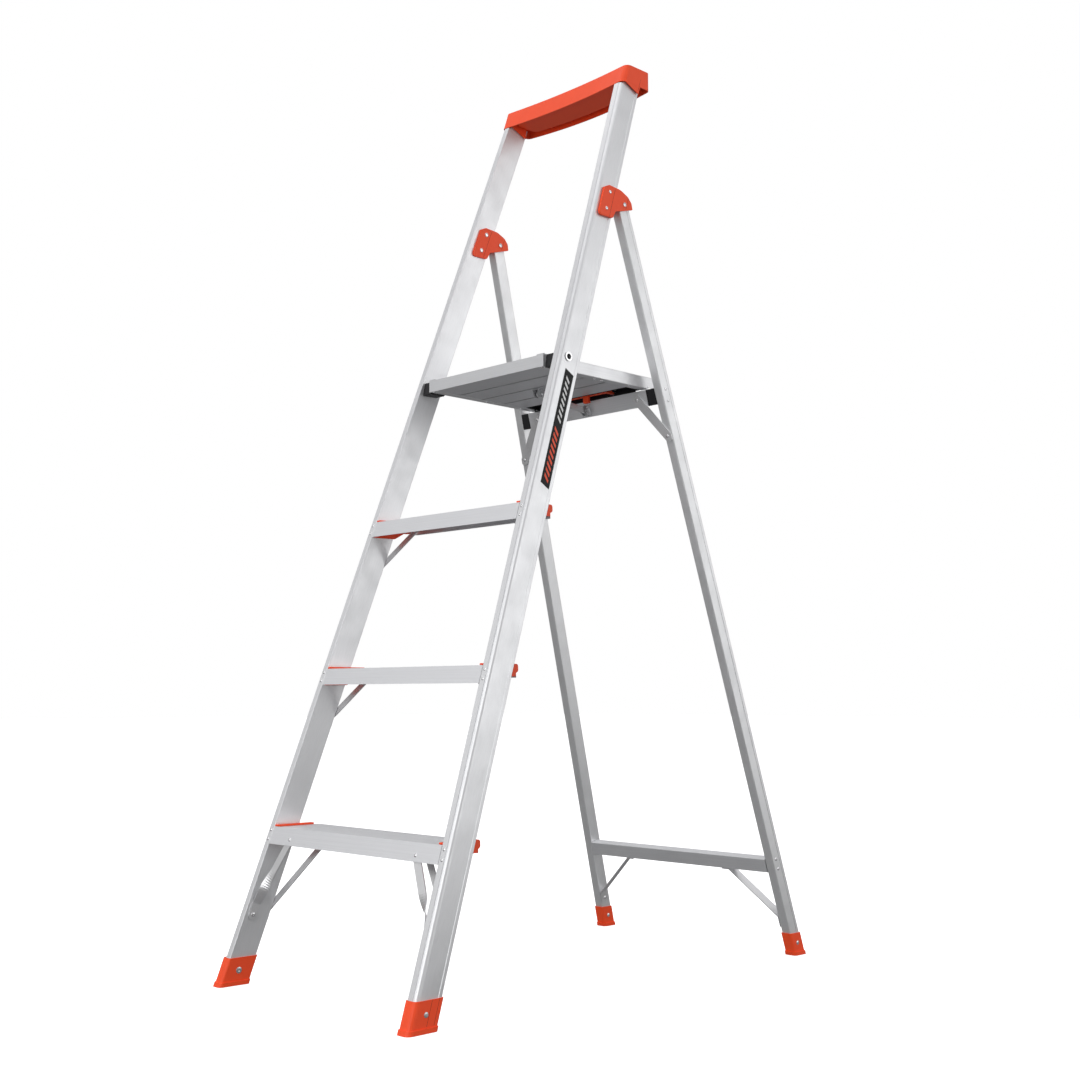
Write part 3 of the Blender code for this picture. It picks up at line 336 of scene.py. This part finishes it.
# ---------------------------------------------------------------- rivets and screws
# Radius and height of each kind of head.
STEP_RIVET = (0.0032, 0.0012)
BRACE_RIVET = (0.0034, 0.0013)
BRACE_FOOT_RIVET = (0.0042, 0.0014)
REAR_BRACE_RIVET = (0.0036, 0.0013)
BRACKET_RIVET = (0.0036, 0.0013)
BRACKET_RIVET_WIDE = (0.0046, 0.0013)
UPPER_STRAP_RIVET = (0.0036, 0.0013)
LOWER_STRAP_RIVET = (0.0036, 0.0012)
LOWER_BAR_RIVET = (0.0034, 0.0012)
RAIL_RIVET = (0.0034, 0.0013)
DECK_REAR_RIVET = (0.0030, 0.0012)
FOOT_SCREW = (0.0044, 0.0012)
FOOT_SCREW_WIDE = (0.0058, 0.0012)
REAR_FOOT_SCREW = (0.0042, 0.0012)

STEP_RIVET_DROPS = (0.006, 0.022)           # under a step's top
SKIRT_RIVET_DROP = 0.0195
BRACE_DROPS = (0.146, 0.087, 0.082)         # from each step's top to the foot of its rear brace
BRACKET_RIVETS = (1.5865, 1.5480)           # up the stile
CROSSBAR_RIVETS = ((1.1134, 0.0120), (1.0909, 0.0120), (0.189, 0.0105), (0.170, 0.0105))   # height, depth
FRONT_SCREW_HEIGHT = 0.034
REAR_SCREW_HEIGHT = 0.0240
RAIL_RIVETS = (0.3975, 0.5405, 0.5600)      # back from the front feet
DECK_UNDERSIDE = 1.1195


def front_frame_rivets():
    places = []
    for side in SIDES:
        out = out_of(side)
        for top in STEP_TOPS:
            for drop in STEP_RIVET_DROPS:
                places.append((on_stile(side, 0.007, 0, along_at(top - drop)), -N, STEP_RIVET))
        z = STEP_TOPS[0] - SKIRT_RIVET_DROP
        places.append((here(side * 0.178, z * LEAN, z), -N, BRACE_RIVET))
        places.append((on_stile(side, -0.0024, 0.0155, 0.1330), -out, BRACE_FOOT_RIVET))
        for top, drop in zip(STEP_TOPS, BRACE_DROPS):
            foot = along_at(top - drop) + 0.0018
            places.append((on_stile(side, STILE_W / 2, STILE_D + 0.0024, foot), N, REAR_BRACE_RIVET))
        for along in BRACKET_RIVETS:
            places.append((on_stile(side, STILE_W + 0.0050, 0.0298, along), out, BRACKET_RIVET))
            places.append((on_stile(side, -0.0034, 0.0312, along), -out, BRACKET_RIVET_WIDE))
    return places


def front_foot_screws():
    places = []
    for side in SIDES:
        out, along = out_of(side), along_at(FRONT_SCREW_HEIGHT)
        places.append((on_stile(side, STILE_W + 0.0026, 0.0240, along), out, FOOT_SCREW))
        places.append((on_stile(side, -0.0026, 0.0240, along), -out, FOOT_SCREW_WIDE))
    return places


def rear_frame_rivets():
    places = []
    for side in SIDES:
        for z, depth in CROSSBAR_RIVETS:
            places.append((leg_face(side, LEG_OUT, depth, z), X * side, STEP_RIVET))
        places.append((on_rear(side * 0.1435, -0.0024, 1.1430), -M, UPPER_STRAP_RIVET))
        foot = on_rear(side * (leg_centre(1.021) - 0.001), -0.0024, 1.0619)
        places.append((foot, -M, UPPER_STRAP_RIVET))
        places.append((leg_face(side, -0.0122, 0.0130, 0.0640), X * -side, LOWER_STRAP_RIVET))
        places.append((on_rear(side * 0.1320, 0.0105, 0.1657), -E, LOWER_BAR_RIVET))
        for face in (1, -1):
            screw = leg_face(side, face * 0.0123, 0.0140, REAR_SCREW_HEIGHT)
            places.append((screw, X * side * face, REAR_FOOT_SCREW))
    return places


def platform_rivets():
    places = []
    for side in SIDES:
        for y in RAIL_RIVETS:
            places.append((here(side * 0.1555, y, DECK_UNDERSIDE), -Z, RAIL_RIVET))
        places.append((here(side * 0.156, 0.640, DECK_UNDERSIDE), -Z, DECK_REAR_RIVET))
    return places


heads("front_rivets", front_frame_rivets(), "front_frame")
heads("front_foot_screws", front_foot_screws(), "front_frame", ZINC)
heads("rear_rivets", rear_frame_rivets(), "rear_frame")
heads("platform_rivets", platform_rivets(), "platform")

# ---------------------------------------------------------------- seams and ribs of the plastic
SEAM_LIFT = 0.00010
BRACKET_SEAM, SHOE_SEAM = 0.00045, 0.0004   # widths
BRACKET_FACES = (STILE_W + 0.00502, -0.00342)   # outward of a stile's inner face
SHOE_FACE = STILE_W + 0.00262
CAP_END = 0.18082
RIBS = (-0.105, -0.052, 0.0, 0.052, 0.105)
RIB_MIDDLE, RIB_HEIGHT = 0.6762, 1.7560     # at the cap's ends
RIB_HALF = Vector((0.0007, 0.0060, 0.0085))
BOW, BOW_HALF = 0.0145, 0.17                # how far the cap bows back there, and over what half width


def seam(shell, a, b, normal, width):
    """A hairline between two points of a face."""
    across = normal.cross(b - a).normalized() * width / 2
    slab(shell, [a - across, b - across, b + across, a + across], normal * SEAM_LIFT)


def bracket_seams(shell, side):
    out = out_of(side)
    for off, face in zip(BRACKET_FACES, (out, -out)):
        for depth, low, high in ((0.0412, 1.5345, 1.6000), (0.0800, 1.5770, 1.6040)):
            seam(shell, on_stile(side, off, depth, low), on_stile(side, off, depth, high), face, BRACKET_SEAM)


def shoe_seams(shell, side):
    for depth in (0.0300, 0.0440):
        a, b = (on_stile(side, SHOE_FACE, depth, along_at(z) + depth * LEAN) for z in (0.0085, 0.0470))
        seam(shell, a, b, out_of(side), SHOE_SEAM)


def cap_seam(shell, side):
    a, b = here(side * CAP_END, 0.6478, 1.7330), here(side * CAP_END, 0.6560, 1.7600)
    seam(shell, a, b, X * side, SHOE_SEAM)


def seams():
    shell = bmesh.new()
    for side in SIDES:
        bracket_seams(shell, side)
        shoe_seams(shell, side)
        cap_seam(shell, side)
    add("plastic_seams", shell, SEAM, "front_frame", smooth=False)


def block(shell, centre, half):
    """An upright box from its middle and its half sizes."""
    ring = ((-1, -1), (1, -1), (1, 1), (-1, 1))
    slab(shell, [centre + Vector((half.x * i, half.y * j, -half.z)) for i, j in ring], Z * half.z * 2)


def cap_ribs():
    """Ribs between the tool tray and the cap's rear wall."""
    shell = bmesh.new()
    for x in RIBS:
        y = RIB_MIDDLE + BOW * (1 - (x / BOW_HALF) ** 2)
        block(shell, here(x, y, RIB_HEIGHT), RIB_HALF)
    add("top_cap_ribs", shell, ORANGE, "front_frame", smooth=False)


seams()
cap_ribs()

# ---------------------------------------------------------------- side label
WEB = STILE_W - 0.0007                      # the right stile's recessed outer face
LABEL_LOW, LABEL_HIGH = 0.945, 1.180        # up the stile
LABEL_MIDDLE = 0.0315                       # back from the stile's front face
BAR_PITCH = 0.0118


def label_patch(shell, depths, ends, lift, slant):
    """A slanted patch of the label: its depths, its ends up the stile and its height over the web."""
    (near, far), (low, high) = depths, ends
    corners = [
        on_stile(1, WEB + lift, depth, along - (depth - LABEL_MIDDLE) * slant)
        for depth, along in ((near, low), (far, low), (far, high), (near, high))
    ]
    slab(shell, corners, out_of(1) * PRINT)


def label_plate():
    shell = bmesh.new()
    label_patch(shell, (0.0200, 0.0430), (LABEL_LOW, LABEL_HIGH), 0.00008, 0.22)
    add("label_plate", shell, LABEL_BLACK, "front_frame", smooth=False)


def label_row(name, material, count, first, length, depths):
    """A row of slanted bars that spell nothing."""
    shell = bmesh.new()
    for k in range(count):
        low = LABEL_LOW + first + k * BAR_PITCH
        label_patch(shell, depths, (low, low + length), 0.00022, 0.9)
    add(name, shell, material, "front_frame", smooth=False)


label_plate()
label_row("label_bars", LABEL_ORANGE, 9, 0.012, 0.0062, (0.0255, 0.0375))
label_row("label_marks", LABEL_WHITE, 8, 0.132, 0.0056, (0.0265, 0.0365))

# ---------------------------------------------------------------- studio
ROOM = 0.75                                 # the room's strength
LOW_SKY, HIGH_SKY = (0.30, 0.30, 0.31, 1), (0.80, 0.80, 0.82, 1)
SKY = ((0.35, 0.20), (0.47, 0.22), (0.56, 0.62))    # where between them, and how bright
FLOOR_DROP, FLOOR_HALF = 0.0006, 30
FLOOR_GLOW = 0.75


def room(tree):
    """A soft room that is bright above and dim below."""
    ground = tree.nodes["Background"]
    split = tree.nodes.new("ShaderNodeSeparateXYZ")
    tree.links.new(tree.nodes.new("ShaderNodeTexCoord").outputs["Generated"], split.inputs["Vector"])
    ramp = tree.nodes.new("ShaderNodeValToRGB")
    tree.links.new(ranged(tree, split.outputs["Z"], 0.0, 1.0, -1.0, 1.0), ramp.inputs["Fac"])
    stops = ramp.color_ramp.elements
    stops[0].position, stops[0].color = 0.0, LOW_SKY
    stops[1].position, stops[1].color = 1.0, HIGH_SKY
    for position, level in SKY:
        stop = stops.new(position)
        stop.color = (level, level, level, 1)
    tree.links.new(ramp.outputs["Color"], ground.inputs["Color"])
    ground.inputs["Strength"].default_value = ROOM
    return ground.outputs["Background"]


def world():
    """White to the eye, and the room to everything else."""
    studio = bpy.data.worlds.new("studio")
    bpy.context.scene.world = studio
    studio.use_nodes = True
    tree = studio.node_tree
    white = tree.nodes.new("ShaderNodeBackground")
    white.inputs["Color"].default_value = (1, 1, 1, 1)
    white.inputs["Strength"].default_value = 1.0
    ray = tree.nodes.new("ShaderNodeLightPath")
    mix = tree.nodes.new("ShaderNodeMixShader")
    tree.links.new(ray.outputs["Is Camera Ray"], mix.inputs["Fac"])
    tree.links.new(room(tree), mix.inputs[1])
    tree.links.new(white.outputs["Background"], mix.inputs[2])
    tree.links.new(mix.outputs["Shader"], tree.nodes["World Output"].inputs["Surface"])


def area_light(name, place, target, size, power):
    data = bpy.data.lights.new(name, "AREA")
    data.shape = "RECTANGLE"
    data.size, data.size_y = size
    data.energy = power
    lamp = bpy.data.objects.new(name, data)
    bpy.context.scene.collection.objects.link(lamp)
    lamp.location = place
    lamp.rotation_euler = (Vector(target) - Vector(place)).to_track_quat("-Z", "Y").to_euler()


def floor():
    """A pale ground that the camera sees and the ladder doesn't mirror."""
    shell = bmesh.new()
    bmesh.ops.create_grid(shell, x_segments=1, y_segments=1, size=FLOOR_HALF)
    mesh = bpy.data.meshes.new("floor")
    shell.to_mesh(mesh)
    shell.free()
    material, tree = new_material("pale_floor")
    shader = tree.nodes["Principled BSDF"]
    shader.inputs["Base Color"].default_value = (0.90, 0.90, 0.90, 1)
    shader.inputs["Roughness"].default_value = 0.9
    shader.inputs["Specular IOR Level"].default_value = 0.1
    shader.inputs["Emission Color"].default_value = (1, 1, 1, 1)
    shader.inputs["Emission Strength"].default_value = FLOOR_GLOW
    mesh.materials.append(material)
    ground = bpy.data.objects.new("floor", mesh)
    bpy.context.scene.collection.objects.link(ground)
    ground.location = (0, 0, -FLOOR_DROP)
    ground.visible_diffuse = False
    ground.visible_glossy = False


world()
floor()
area_light("key_left", (-2.6, -3.4, 2.4), (0, 0, 0.9), (3.0, 2.6), 9)
area_light("key_front", (0.5, -4.6, 2.3), (0, 0, 0.9), (5.0, 4.2), 82)
area_light("side_right", (3.6, 2.3, 1.6), (0, 0, 1.0), (3.6, 3.0), 38)
area_light("low_front", (1.0, -3.0, 0.25), (0, 0, 1.1), (2.0, 0.8), 12)
area_light("top", (0, 0.2, 4.4), (0, 0, 0.8), (5.0, 5.0), 62)

# ---------------------------------------------------------------- camera
CAMERA_PLACE = Vector((2.0322, -1.4387, 0.5080)) + SHIFT
CAMERA_TILT, CAMERA_TURN = math.radians(98.2395), math.radians(45.7275)
SENSOR, LENS = 36.0, 47.85133               # millimetres
SHIFT_RIGHT, SHIFT_UP = 0.00063, -0.046704  # shares of the picture's width


def view():
    camera = bpy.data.objects.new("camera", bpy.data.cameras.new("camera"))
    bpy.context.scene.collection.objects.link(camera)
    camera.data.sensor_width = SENSOR
    camera.data.lens = LENS
    camera.data.shift_x = SHIFT_RIGHT
    camera.data.shift_y = SHIFT_UP
    camera.data.clip_end = 200.0
    camera.location = CAMERA_PLACE
    camera.rotation_euler = (CAMERA_TILT, 0, CAMERA_TURN)
    bpy.context.scene.camera = camera


view()
bpy.context.scene.view_settings.view_transform = "Standard"
